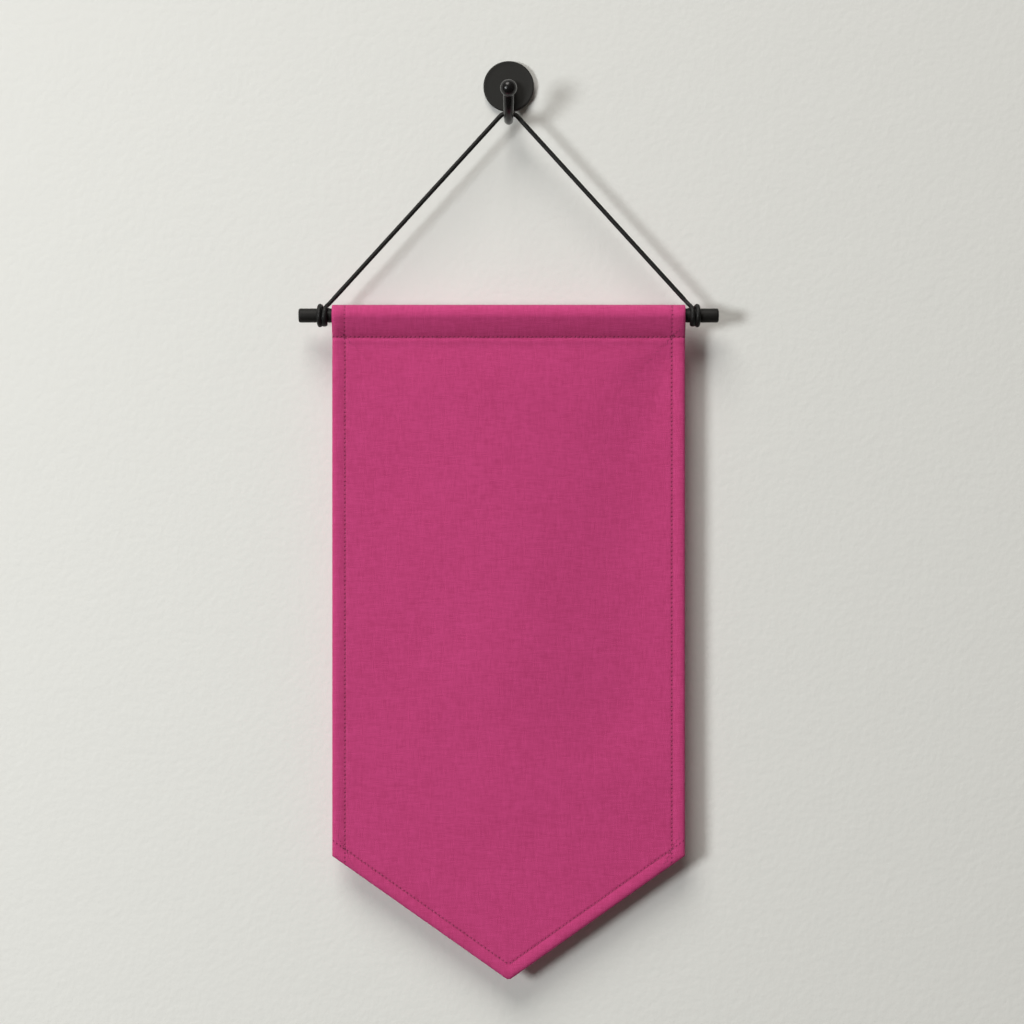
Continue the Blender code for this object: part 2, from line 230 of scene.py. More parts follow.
class Shader:
    """Short calls that build the nodes of one material."""

    def __init__(self, name):
        self.material = bpy.data.materials.new(name)
        self.material.use_nodes = True
        self.tree = self.material.node_tree
        self.surface = self.tree.nodes["Principled BSDF"]
        self.output = self.tree.nodes["Material Output"]

    def put(self, socket, value):
        if isinstance(value, bpy.types.NodeSocket):
            self.tree.links.new(value, socket)
        else:
            socket.default_value = value

    def node(self, kind, inputs, output=0, **settings):
        made = self.tree.nodes.new(kind)
        for name, value in settings.items():
            setattr(made, name, value)
        for name, value in inputs.items():
            self.put(made.inputs[name], value)
        return made.outputs[output]

    def math(self, operation, *values):
        inputs = dict(enumerate(values))
        return self.node("ShaderNodeMath", inputs, operation=operation)

    def attribute(self, name):
        """The three parts of a point attribute."""
        vector = self.node("ShaderNodeAttribute", {}, "Vector", attribute_name=name)
        split = self.tree.nodes.new("ShaderNodeSeparateXYZ")
        self.tree.links.new(vector, split.inputs[0])
        return list(split.outputs)

    def place(self, scale=(1.0, 1.0, 1.0)):
        """Object coordinates, stretched by scale."""
        where = self.node("ShaderNodeTexCoord", {}, "Object")
        return self.node("ShaderNodeMapping", {"Vector": where, "Scale": scale})

    def noise(self, scale, detail=2.0, where=None):
        inputs = {"Scale": scale, "Detail": detail}
        inputs["Vector"] = self.place() if where is None else where
        return self.node("ShaderNodeTexNoise", inputs, "Fac")

    def combine(self, x, y, z=0.0):
        return self.node("ShaderNodeCombineXYZ", {"X": x, "Y": y, "Z": z})

    def ramp(self, value, low, high, to_low=0.0, to_high=1.0, smooth=True):
        """Value mapped from low..high to to_low..to_high, held at both ends."""
        inputs = {
            "Value": value, "From Min": low, "From Max": high,
            "To Min": to_low, "To Max": to_high,
        }
        kind = "SMOOTHSTEP" if smooth else "LINEAR"
        return self.node("ShaderNodeMapRange", inputs, interpolation_type=kind)

    def mix(self, share, first, second):
        made = self.tree.nodes.new("ShaderNodeMix")
        made.data_type = "RGBA"
        self.put(made.inputs["Factor"], share)
        self.put(made.inputs["A"], (*first, 1.0) if isinstance(first, tuple) else first)
        self.put(made.inputs["B"], (*second, 1.0) if isinstance(second, tuple) else second)
        return made.outputs["Result"]

    def bump(self, height, distance, strength=1.0, under=None):
        inputs = {"Height": height, "Distance": distance, "Strength": strength}
        if under is not None:
            inputs["Normal"] = under
        return self.node("ShaderNodeBump", inputs)

    def finish(self, **inputs):
        for name, value in inputs.items():
            self.put(self.surface.inputs[name.replace("_", " ")], value)
        return self.material


def weave_height(shader, across, along):
    """Plain weave: threads that go over and under each other once in every unit square."""
    thread_a = shader.math("ABSOLUTE", shader.math("SINE", shader.math("MULTIPLY", across, math.pi)))
    thread_b = shader.math("ABSOLUTE", shader.math("SINE", shader.math("MULTIPLY", along, math.pi)))
    cell = shader.math("ADD", shader.math("FLOOR", across), shader.math("FLOOR", along))
    odd = shader.math("FLOORED_MODULO", cell, 2.0)
    even = shader.math("SUBTRACT", 1.0, odd)
    over_a = shader.math("MULTIPLY", thread_a, shader.math("POWER", thread_b, 0.35))
    over_b = shader.math("MULTIPLY", thread_b, shader.math("POWER", thread_a, 0.35))
    height = shader.math("MULTIPLY", over_a, odd)
    return shader.math("ADD", height, shader.math("MULTIPLY", over_b, even)), odd


def canvas_material():
    """Dyed plain-woven cotton: uneven threads, soft sheen and dents where the needle went in, with
    painted shade between the threads, along the stitch lines and in the needle holes.
    """
    s = Shader("magenta_canvas")
    x, run, _ = s.attribute("flat")
    wander = s.math("MULTIPLY", s.math("SUBTRACT", s.noise(90.0, 3.0), 0.5), 0.9)
    across = s.math("ADD", s.math("DIVIDE", x, WEAVE_PITCH), wander)
    along = s.math("ADD", s.math("DIVIDE", run, WEAVE_PITCH), wander)
    weave, odd = weave_height(s, across, along)
    warp_cell = s.combine(s.math("FLOOR", across), s.math("MULTIPLY", along, 0.05))
    weft_cell = s.combine(s.math("MULTIPLY", across, 0.05), s.math("FLOOR", along), 7.0)
    warp_tone = s.noise(1.7, 1.0, warp_cell)
    weft_tone = s.noise(1.7, 1.0, weft_cell)
    tone = s.node("ShaderNodeMix", {"Factor": odd, "A": weft_tone, "B": warp_tone})
    fuzz = s.noise(2600.0, 2.0)
    blotch = s.noise(28.0, 3.0)

    stitch_across, stitch_run, _ = s.attribute("stitch")
    step = s.math("FRACT", s.math("DIVIDE", stitch_run, STITCH_PITCH))
    from_hole = s.math("MULTIPLY", s.math("SUBTRACT", step, 0.5), STITCH_PITCH)
    spot = s.math("SQRT", s.math(
        "ADD", s.math("POWER", s.math("ABSOLUTE", stitch_across), 2.0),
        s.math("POWER", s.math("ABSOLUTE", from_hole), 2.0),
    ))
    hole = s.ramp(spot, 0.00022, 0.00060, 1.0, 0.0)
    line = s.ramp(s.math("ABSOLUTE", stitch_across), 0.0, 0.0011, 1.0, 0.0)

    shade = s.math("ADD", s.math("MULTIPLY", tone, 0.60), s.math("MULTIPLY", fuzz, 0.30))
    shade = s.math("ADD", shade, s.math("MULTIPLY", blotch, 0.10))
    colour = s.mix(s.ramp(shade, 0.30, 0.70), (0.500, 0.042, 0.165), (0.660, 0.068, 0.250))
    # Painted shade: the colour darkens in the low spots of the weave, between the threads.
    colour = s.mix(s.ramp(weave, 0.0, 0.45, 0.55, 0.0), colour, (0.280, 0.016, 0.085))
    # Painted shade: a faint darkening along each line of stitches, where the seam draws a crease.
    colour = s.mix(s.math("MULTIPLY", line, 0.08), colour, (0.200, 0.014, 0.055))
    # Painted shade: darker in the needle holes. The same mask also sinks them as dents.
    colour = s.mix(s.math("MULTIPLY", hole, 0.34), colour, (0.080, 0.006, 0.024))

    height = s.math("ADD", weave, s.math("MULTIPLY", fuzz, 0.35))
    height = s.math("ADD", height, s.math("MULTIPLY", tone, 0.5))
    normal = s.bump(height, 0.00010, 0.75)
    normal = s.bump(s.math("MULTIPLY", hole, -1.0), 0.00045, 0.9, normal)
    return s.finish(
        Base_Color=colour, Roughness=0.86, Normal=normal, Specular_IOR_Level=0.28,
        Sheen_Weight=0.14, Sheen_Roughness=0.45, Sheen_Tint=(1.0, 0.72, 0.86, 1.0),
    )


def thread_material():
    """Sewing thread in the cloth's colour, twisted, with painted shade in the grooves of the twist.
    """
    s = Shader("magenta_thread")
    place = s.place((1.0, 1.0, 1.0))
    twist = s.node(
        "ShaderNodeTexWave", {"Vector": place, "Scale": 620.0, "Distortion": 1.0}, "Fac",
        bands_direction="DIAGONAL",
    )
    # Painted shade and light: darker in the grooves of the twist, lighter on its ridges.
    colour = s.mix(twist, (0.330, 0.028, 0.105), (0.520, 0.060, 0.190))
    return s.finish(
        Base_Color=colour, Roughness=0.55, Normal=s.bump(twist, 0.00004, 0.8),
        Sheen_Weight=0.1,
    )


def cord_material():
    """Waxed black braid: painted shade in the grooves, a painted highlight on the strands, and a
    shine that varies along the fibres.
    """
    s = Shader("black_braid")
    height, _, _ = s.attribute("lay")
    fibre = s.noise(2400.0, 3.0)
    # Painted shade and highlight: the colour runs from near black in the braid's grooves to lighter
    # on the strands' tops.
    crest_painted_light = s.ramp(s.math("ADD", height, s.math("MULTIPLY", fibre, 0.25)), 0.15, 1.1)
    colour = s.mix(crest_painted_light, (0.0025, 0.0024, 0.0024), (0.012, 0.0115, 0.011))
    roughness = s.ramp(fibre, 0.3, 0.7, 0.40, 0.62)
    return s.finish(
        Base_Color=colour, Roughness=roughness, Normal=s.bump(fibre, 0.00008, 0.6),
        Specular_IOR_Level=0.30,
    )


def rod_material():
    """Satin black paint on a turned rod, with faint grain along it and specks of wear."""
    s = Shader("satin_black_rod")
    grain = s.noise(1.0, 4.0, s.place((60.0, 1500.0, 1500.0)))
    speck = s.noise(1400.0, 2.0)
    colour = s.mix(grain, (0.0060, 0.0058, 0.0052), (0.0115, 0.0110, 0.0100))
    colour = s.mix(s.ramp(speck, 0.66, 0.74, 0.0, 0.4), colour, (0.030, 0.029, 0.027))
    height = s.math("ADD", grain, s.math("MULTIPLY", speck, 0.3))
    return s.finish(
        Base_Color=colour, Roughness=s.ramp(grain, 0.3, 0.7, 0.48, 0.60),
        Normal=s.bump(height, 0.00006, 0.5), Specular_IOR_Level=0.24,
    )


def plate_material():
    """Matt powder coat."""
    s = Shader("matt_black_plate")
    grit = s.noise(1900.0, 3.0)
    cloud = s.noise(90.0, 2.0)
    colour = s.mix(cloud, (0.0135, 0.0133, 0.0118), (0.0190, 0.0186, 0.0168))
    return s.finish(
        Base_Color=colour, Roughness=s.ramp(grit, 0.3, 0.7, 0.56, 0.70),
        Normal=s.bump(grit, 0.00005, 0.5), Specular_IOR_Level=0.30,
    )


def arm_material():
    """Gloss black enamel with the faint ripple of a dipped coat."""
    s = Shader("gloss_black_arm")
    ripple = s.noise(420.0, 2.0)
    dust = s.noise(2600.0, 2.0)
    colour = s.mix(dust, (0.0050, 0.0050, 0.0050), (0.0085, 0.0082, 0.0080))
    return s.finish(
        Base_Color=colour, Roughness=s.ramp(dust, 0.35, 0.7, 0.22, 0.32),
        Normal=s.bump(ripple, 0.00004, 0.35), Specular_IOR_Level=0.35,
    )


def read_table(table, key):
    """Smoothly read the other columns of a table at a value of its first column."""
    if key <= table[0][0]:
        return table[0][1:]
    for low, high in zip(table, table[1:]):
        if key <= high[0]:
            share = (key - low[0]) / (high[0] - low[0])
            share = share * share * (3 - 2 * share)
            return [a + (b - a) * share for a, b in zip(low[1:], high[1:])]
    return table[-1][1:]


def point_edge_z(x):
    """Height of the cloth's lower edge at x."""
    return TOP_Z - SIDE_LENGTH - POINT_LENGTH * (1 - abs(x) / (CLOTH_WIDTH / 2))


def fold_height(x, z):
    """How far the folds bring the panel towards the viewer at (x, z)."""
    drop = TOP_Z - z
    height = 0.0
    for fold in FOLDS:
        middle, left, right, amount = read_table(fold, drop)
        offset = (x - middle) / (left if x < middle else right)
        height += amount * math.exp(-offset * offset)
    fade = min(1.0, max(0.0, (SEAM_Z - z) / FOLD_FADE))
    return height * fade * fade * (3 - 2 * fade)


def ripple(x, run):
    """Small unevenness of hand-cut cloth, under a fifth of a millimetre."""
    soft = 0.00007 * math.sin(95 * x + 1.3) * math.sin(61 * run + 0.4)
    return soft + 0.00005 * math.sin(210 * x + 37 * run) * math.sin(173 * run + 2.0)


def from_point(x, z):
    """Distance from the sloping lower edge."""
    return (z - point_edge_z(x)) * math.cos(POINT_SLOPE)


def pucker(distance, run):
    """The seam draws the cloth in unevenly beside the stitches."""
    near = math.exp(-(distance / 0.0022) ** 2)
    return 0.00007 * near * (math.sin(run * 690) + 0.7 * math.sin(run * 283 + 1.1))


def flank_angle(radius, tip_half, tip_z):
    """Angle from straight down at which a flank, drawn from its tip at (tip_half, tip_z), meets
    the circle over the rod."""
    reach = math.hypot(tip_half, tip_z)
    return math.atan2(tip_half, -tip_z) + math.acos(radius / reach)


def skin_rows():
    """Rows of the cloth's outer skin, from the turned-down edge behind the seam, over the
    rod and down the front. Each row gives its zone and where it is in that zone."""
    rows = [("tuck", share) for share in (0.0, 0.12, 0.3, 0.5, 0.7, 0.85)]
    flank = (0.0, 0.04, 0.09, 0.16, 0.25, 0.36, 0.48, 0.6, 0.72, 0.86)
    rows += [("back_flank", share) for share in flank]
    rows += [("circle", share) for share in np.linspace(0.0, 1.0, CIRCLE_ROWS)]
    rows += [("front_flank", share) for share in reversed(flank)]
    rows += [("panel_top", drop) for drop in (0.0004, 0.0009, 0.0016, 0.0025, 0.0035)]
    rows += [("panel", share) for share in np.linspace(0.0, 1.0, PANEL_ROWS)]
    hem = [row[0] for row in reversed(HEM_PROFILE[:-1])]
    rows += [("point_hem", distance) for distance in hem]
    return rows


PANEL_START = 0.0045  # below the seam
FLANK_BELLY = 0.00028  # how far the pocket's flanks bulge
SEAM_FLARE = 0.00022  # how sharply they open out just above the seam
SEAM_PUFF = 0.00035  # the panel puffs out a little below the seam
SEAM_PUFF_DROP = 0.0022
SEAM_PUFF_REACH = 0.0016
SEAM_DENT = 0.00010  # and the stitches draw it in
SEAM_DENT_REACH = 0.0006
SEAM_DEPTH = SEAM_Z - ROD_Z
FLANK_ANGLE = flank_angle(POCKET_RADIUS, SEAM_HALF_THICK, SEAM_DEPTH)
FLANK_TOP = (
    POCKET_RADIUS * math.sin(FLANK_ANGLE), -POCKET_RADIUS * math.cos(FLANK_ANGLE)
)


def skin_point(x, zone, where, from_side):
    """(out, z) of the outer skin, relative to the hanging plane and in the row frame."""
    front, back = read_table(HEM_PROFILE, from_side)
    if zone in ("tuck", "back_flank", "circle", "front_flank"):
        if zone == "tuck":
            z = SEAM_Z - SEAM_ALLOWANCE * (1 - where)
            lie = SOLID_THICK * 0.5 + 1.05 * SHEET_THICK
            return -(lie + (SEAM_HALF_THICK * 1.25 - lie) * where ** 3 + back * 0.8), z
        if zone == "circle":
            angle = 2 * math.pi - FLANK_ANGLE - where * 2 * (math.pi - FLANK_ANGLE)
            out = POCKET_RADIUS * math.sin(angle)
            z = -POCKET_RADIUS * math.cos(angle)
            swell = front * abs(math.sin(angle)) ** 0.5
            return out * (1 + swell / POCKET_RADIUS), ROD_Z + z
        side = -1 if zone == "back_flank" else 1
        belly = FLANK_BELLY * math.sin(math.pi * where) + SEAM_FLARE * (1 - (1 - where) ** 6)
        out = SEAM_HALF_THICK + (FLANK_TOP[0] - SEAM_HALF_THICK) * where
        out += (belly - SEAM_FLARE * where) + front
        z = SEAM_DEPTH + (FLANK_TOP[1] - SEAM_DEPTH) * where
        return side * (out + pucker(z - SEAM_DEPTH, x)), ROD_Z + z
    lowest = point_edge_z(x) + HEM_PROFILE[-1][0] / math.cos(POINT_SLOPE)
    if zone == "panel_top":
        z = SEAM_Z - where
    elif zone == "panel":
        z = SEAM_Z - PANEL_START + (lowest - SEAM_Z + PANEL_START) * where
    else:
        z = point_edge_z(x) + where / math.cos(POINT_SLOPE)
    distance = min(from_side, from_point(x, z))
    swell = read_table(HEM_PROFILE, distance)[0]
    below_seam = SEAM_Z - z
    swell += SEAM_PUFF * math.exp(-((below_seam - SEAM_PUFF_DROP) / SEAM_PUFF_REACH) ** 2)
    swell -= SEAM_DENT * math.exp(-(below_seam / SEAM_DENT_REACH) ** 2)
    out = fold_height(x, z) + SOLID_THICK / 2 + swell + ripple(x, z)
    return out + pucker(below_seam, x) + pucker(distance - HEM_STITCH, z - 0.3 * x), z


def sheet_columns():
    """x of each column of the cloth, close together in the hems."""
    half = CLOTH_WIDTH / 2
    hem = [row[0] for row in HEM_PROFILE]
    inner = half - hem[-1]
    middle = list(np.linspace(-inner, inner, PANEL_COLUMNS))[1:-1]
    return [e - half for e in hem] + middle + [half - e for e in reversed(hem)]


def stitch_place(x, z, run, on_panel):
    """Signed distance from the nearest line of stitches, and the position along it."""
    from_side = CLOTH_WIDTH / 2 - abs(x)
    choices = [(from_side - HEM_STITCH, run)]
    if on_panel:
        choices.append((from_point(x, z) - HEM_STITCH, x / math.cos(POINT_SLOPE)))
    choices.append((z - SEAM_Z, x))
    return min(choices, key=lambda choice: abs(choice[0]))


def sheet_thickness(x, z, zone, from_side):
    """Thickness of the cloth, doubled where its hem is turned back."""
    if zone == "point_hem" or zone.startswith("panel"):
        distance = min(from_side, from_point(x, z))
        swell = read_table(HEM_PROFILE, distance)
        return max(0.0008, SHEET_THICK + swell[0] + swell[1])
    near_seam = math.exp(-((z - SEAM_Z) / 0.0012) ** 2) if zone != "circle" else 0.0
    return SHEET_THICK * (1 - 0.3 * near_seam)


def mesh_piece(name, points, faces, material, attributes=None):
    """A mesh object in the row frame that rides on the part."""
    mesh = bpy.data.meshes.new(name)
    mesh.from_pydata([tuple(p) for p in points], [], [tuple(f) for f in faces])
    for key, values in (attributes or {}).items():
        layer = mesh.attributes.new(key, "FLOAT_VECTOR", "POINT")
        layer.data.foreach_set("vector", np.asarray(values, dtype=np.float32).ravel())
    mesh.materials.append(material)
    mesh.shade_smooth()
    mesh.update()
    piece = bpy.data.objects.new(name, mesh)
    bpy.context.scene.collection.objects.link(piece)
    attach(piece, BODY)
    return piece


def make_cloth(material):
    """The sheet: an outer skin, an inner skin one thickness behind it, and the rim."""
    rows = skin_rows()
    columns = sheet_columns()
    wide, tall = len(columns), len(rows)
    outer = np.zeros((wide, tall, 3))
    inner = np.zeros((wide, tall, 3))
    flat = np.zeros((wide, tall, 3))
    stitch = np.zeros((wide, tall, 3))
    for i, x in enumerate(columns):
        from_side = CLOTH_WIDTH / 2 - abs(x)
        path = np.array([skin_point(x, zone, where, from_side) for zone, where in rows])
        slope = np.gradient(path, axis=0)
        slope /= np.linalg.norm(slope, axis=1)[:, None]
        normal = np.stack([-slope[:, 1], slope[:, 0]], axis=1)
        run = np.concatenate([[0.0], np.cumsum(np.linalg.norm(np.diff(path, axis=0), axis=1))])
        for j, (zone, _) in enumerate(rows):
            out, z = path[j]
            thick = sheet_thickness(x, z, zone, from_side)
            outer[i, j] = (x, -HANG_OUT - out, z)
            behind = path[j] - normal[j] * thick
            inner[i, j] = (x, -HANG_OUT - behind[0], behind[1])
            flat[i, j] = (x, run[j], 0.0)
            on_panel = zone in ("panel", "panel_top", "point_hem")
            stitch[i, j] = (*stitch_place(x, z, run[j], on_panel), 0.0)
    count = wide * tall
    points = np.concatenate([outer.reshape(-1, 3), inner.reshape(-1, 3)])
    faces = []
    for i in range(wide - 1):
        for j in range(tall - 1):
            a, b = i * tall + j, (i + 1) * tall + j
            faces.append((a, a + 1, b + 1, b))
            faces.append((a + count, b + count, b + 1 + count, a + 1 + count))
    for j in range(tall - 1):
        for a, turned in ((j, True), ((wide - 1) * tall + j, False)):
            face = (a, a + 1, a + 1 + count, a + count)
            faces.append(face[::-1] if turned else face)
    for i in range(wide - 1):
        for j, turned in ((0, True), (tall - 1, False)):
            a, b = i * tall + j, (i + 1) * tall + j
            face = (a, b, b + count, a + count)
            faces.append(face if turned else face[::-1])
    attributes = {
        "flat": np.concatenate([flat.reshape(-1, 3)] * 2),
        "stitch": np.concatenate([stitch.reshape(-1, 3)] * 2),
    }
    cloth = mesh_piece("pennant_cloth", points, faces, material, attributes)
    return cloth, outer, inner, flat[:, :, 1], columns, rows


def thread_points(start, end, normal):
    """Rings of one stitch: it dives into the cloth at both ends."""
    along = end - start
    side = along.cross(normal).normalized() * THREAD_RADIUS
    rings = []
    for share, lift, size in THREAD_SHAPE:
        middle = start + along * share + normal * (THREAD_RADIUS * lift)
        ring = []
        for k in range(THREAD_SIDES):
            angle = 2 * math.pi * k / THREAD_SIDES
            up = normal * (THREAD_RADIUS * size * math.sin(angle))
            ring.append(middle + side * (size * math.cos(angle)) + up)
        rings.append(ring)
    return rings


def make_stitches(name, lines, material):
    """Threads along lines. A line is a list of (point, normal) one stitch apart."""
    points = []
    faces = []
    for line in lines:
        for (start, normal), (end, _) in zip(line, line[1:]):
            first = len(points)
            rings = thread_points(start, end, normal)
            for ring in rings:
                points.extend(ring)
            for r in range(len(rings) - 1):
                for k in range(THREAD_SIDES):
                    a = first + r * THREAD_SIDES + k
                    b = first + r * THREAD_SIDES + (k + 1) % THREAD_SIDES
                    faces.append((a, b, b + THREAD_SIDES, a + THREAD_SIDES))
            faces.append([first + k for k in reversed(range(THREAD_SIDES))])
            last = first + (len(rings) - 1) * THREAD_SIDES
            faces.append([last + k for k in range(THREAD_SIDES)])
    return mesh_piece(name, points, faces, material)


def surface_line(skin, sign, places):
    """(point, normal) at each (x, row) place of a skin; sign turns the normals outwards."""
    line = []
    wide, tall = skin.shape[:2]
    for column, row in places:
        i = min(int(column), wide - 2)
        j = min(int(row), tall - 2)
        s, t = column - i, row - j
        a, b = skin[i, j], skin[i + 1, j]
        c, d = skin[i, j + 1], skin[i + 1, j + 1]
        point = (a * (1 - s) + b * s) * (1 - t) + (c * (1 - s) + d * s) * t
        normal = np.cross(b - a, c - a) * sign
        normal /= np.linalg.norm(normal)
        line.append((Vector(point), Vector(normal)))
    return line


def stitch_steps(low, high):
    """Positions between low and high where the needle went in."""
    first = math.ceil(low / STITCH_PITCH - 0.5)
    last = math.floor(high / STITCH_PITCH - 0.5)
    return [(k + 0.5) * STITCH_PITCH for k in range(first, last + 1)]


def sew(outer, inner, runs, columns, rows, material):
    """Lines of stitches on the front and back: pocket seam, side hems and point hems."""
    half = CLOTH_WIDTH / 2
    seam = rows.index(("front_flank", 0.0))
    back_seam = rows.index(("back_flank", 0.0))
    point_row = rows.index(("point_hem", HEM_STITCH))
    front = []
    back = []
    columns = np.array(columns)
    every_column = np.arange(len(columns))
    places = np.interp(stitch_steps(-half + 0.0015, half - 0.0015), columns, every_column)
    front.append(surface_line(outer, -1, [(place, seam) for place in places]))
    back.append(surface_line(outer, -1, [(place, back_seam) for place in places]))
    for side in (-1, 1):
        column = int(np.argmin(np.abs(columns - side * (half - HEM_STITCH))))
        run = runs[column]
        steps = stitch_steps(run[seam + 2], run[point_row])
        downs = np.interp(steps, run, np.arange(len(rows)))
        front.append(surface_line(outer, -1, [(column, down) for down in downs]))
        back.append(surface_line(inner, 1, [(column, down) for down in downs]))
        reach = (half - HEM_STITCH) / math.cos(POINT_SLOPE)
        ends = (-reach, -0.0004) if side < 0 else (0.0004, reach)
        across = np.array(stitch_steps(*ends)) * math.cos(POINT_SLOPE)
        places = np.interp(across, columns, every_column)
        front.append(surface_line(outer, -1, [(place, point_row) for place in places]))
        back.append(surface_line(inner, 1, [(place, point_row) for place in places]))
    return [
        make_stitches("front_stitches", front, material),
        make_stitches("back_stitches", back, material),
    ]


def sweep(name, centres, ups, sizes, sides, material, relief=None):
    """A closed tube along centres. ups point to each ring's first side, sizes are its half
    width and half thickness, and relief(angle, run) sinks the surface by a share of a size."""
    points = []
    lays = []
    faces = []
    run = 0.0
    for index, (centre, up, size) in enumerate(zip(centres, ups, sizes)):
        before = centres[max(index - 1, 0)]
        after = centres[min(index + 1, len(centres) - 1)]
        tangent = (after - before).normalized()
        up = (up - tangent * up.dot(tangent)).normalized()
        side = tangent.cross(up)
        if index:
            run += (centre - before).length
        for k in range(sides):
            angle = 2 * math.pi * k / sides
            lay = relief(angle, run) if relief else 1.0
            grow = 1 - BRAID_DEPTH * (1 - lay)
            thick = up * (math.cos(angle) * size[1] * grow)
            points.append(centre + thick + side * (math.sin(angle) * size[0] * grow))
            lays.append((lay, 0.0, 0.0))
    rings = len(centres)
    for r in range(rings - 1):
        for k in range(sides):
            a = r * sides + k
            b = r * sides + (k + 1) % sides
            faces.append((a, a + sides, b + sides, b))
    faces.append(list(range(sides)))
    faces.append([(rings - 1) * sides + k for k in reversed(range(sides))])
    return mesh_piece(name, points, faces, material, {"lay": lays})


def lathe(name, profile, sides, place, material):
    """A turned piece; place puts (height along the axis, angle, radius) in the row frame."""
    points = []
    faces = []
    for height, radius in profile:
        for k in range(sides):
            points.append(place(height, 2 * math.pi * k / sides, radius))
    for r in range(len(profile) - 1):
        for k in range(sides):
            a = r * sides + k
            b = r * sides + (k + 1) % sides
            faces.append((a, b, b + sides, a + sides))
    faces.append([k for k in reversed(range(sides))])
    faces.append([(len(profile) - 1) * sides + k for k in range(sides)])
    return mesh_piece(name, points, faces, material)


def braid(angle, run):
    """Height, from 0 to 1, of strands that cross over and under each other."""
    turn = BRAID_STRANDS * angle / (2 * math.pi)
    u = turn + run / BRAID_PITCH
    v = turn - run / BRAID_PITCH
    ridge_u = abs(math.sin(math.pi * u))
    ridge_v = abs(math.sin(math.pi * v))
    if (math.floor(u) + math.floor(v)) % 2:
        return ridge_u * ridge_v ** 0.35
    return ridge_v * ridge_u ** 0.35


def smooth_path(points, steps):
    """Points of a smooth curve that passes through every given point."""
    padded = [2 * points[0] - points[1], *points, 2 * points[-1] - points[-2]]
    path = []
    for before, start, end, after in zip(padded, padded[1:], padded[2:], padded[3:]):
        for step in range(steps):
            t = step / steps
            bend = 2 * before - 5 * start + 4 * end - after
            twist = 3 * start - before - 3 * end + after
            path.append(start + 0.5 * t * ((end - before) + t * (bend + t * twist)))
    path.append(points[-1])
    return path


def even_path(points, step):
    """The same line with its points one step apart."""
    lengths = [(b - a).length for a, b in zip(points, points[1:])]
    marks = np.concatenate([[0.0], np.cumsum(lengths)])
    wanted = np.linspace(0.0, marks[-1], max(2, round(marks[-1] / step)))
    table = np.array([tuple(p) for p in points])
    even = [np.interp(wanted, marks, table[:, k]) for k in range(table.shape[1])]
    return [Vector(p) for p in zip(*even)], marks[-1]


def make_cord(material):
    right = [Vector((x, -HANG_OUT, z)) for x, z in CORD_ROUTE]
    left = [Vector((-x, -HANG_OUT, z)) for x, z in reversed(CORD_ROUTE[1:])]
    path, length = even_path(smooth_path(left + right, ROUTE_STEPS), CORD_STEP)
    outward = [Vector((0.0, -1.0, 0.0))] * len(path)
    sizes = [(CREST_RADIUS, CREST_RADIUS)] * len(path)
    cord = sweep("braided_cord", path, outward, sizes, CORD_SIDES, material, braid)
    return cord, path, length


def make_knot(name, side, material):
    """The cord's end, wound round the rod; side is -1 for the left end, 1 for the right."""
    corners = []
    for angle, x, radius, _, _ in KNOT_TURNS:
        corners.append(Vector((math.radians(angle) * TURN_RADIUS, x, radius)))
    rows = smooth_path(corners, KNOT_STEPS)
    places = []
    for angle, x, radius in rows:
        angle /= TURN_RADIUS
        out = radius * math.sin(angle)
        places.append(Vector((side * x, -HANG_OUT - out, ROD_Z + radius * math.cos(angle))))
    path, _ = even_path(places, CORD_STEP)
    table = [(row[0], *row[3:]) for row in KNOT_TURNS]
    marks = [math.degrees(row[0] / TURN_RADIUS) for row in rows]
    share = np.linspace(0, len(marks) - 1, len(path))
    angles = np.interp(share, np.arange(len(marks)), marks)
    sizes = [read_table(table, angle) for angle in angles]
    ups = [Vector((0.0, p.y + HANG_OUT, p.z - ROD_Z)) for p in path]
    return sweep(name, path, ups, sizes, CORD_SIDES, material, braid)


def arc(centre, radius, start, end, steps):
    """Points of an arc in the plane of (out, z), both ends included."""
    angles = [start + (end - start) * step / steps for step in range(steps + 1)]
    return [
        (centre[0] + radius * math.cos(a), centre[1] + radius * math.sin(a)) for a in angles
    ]


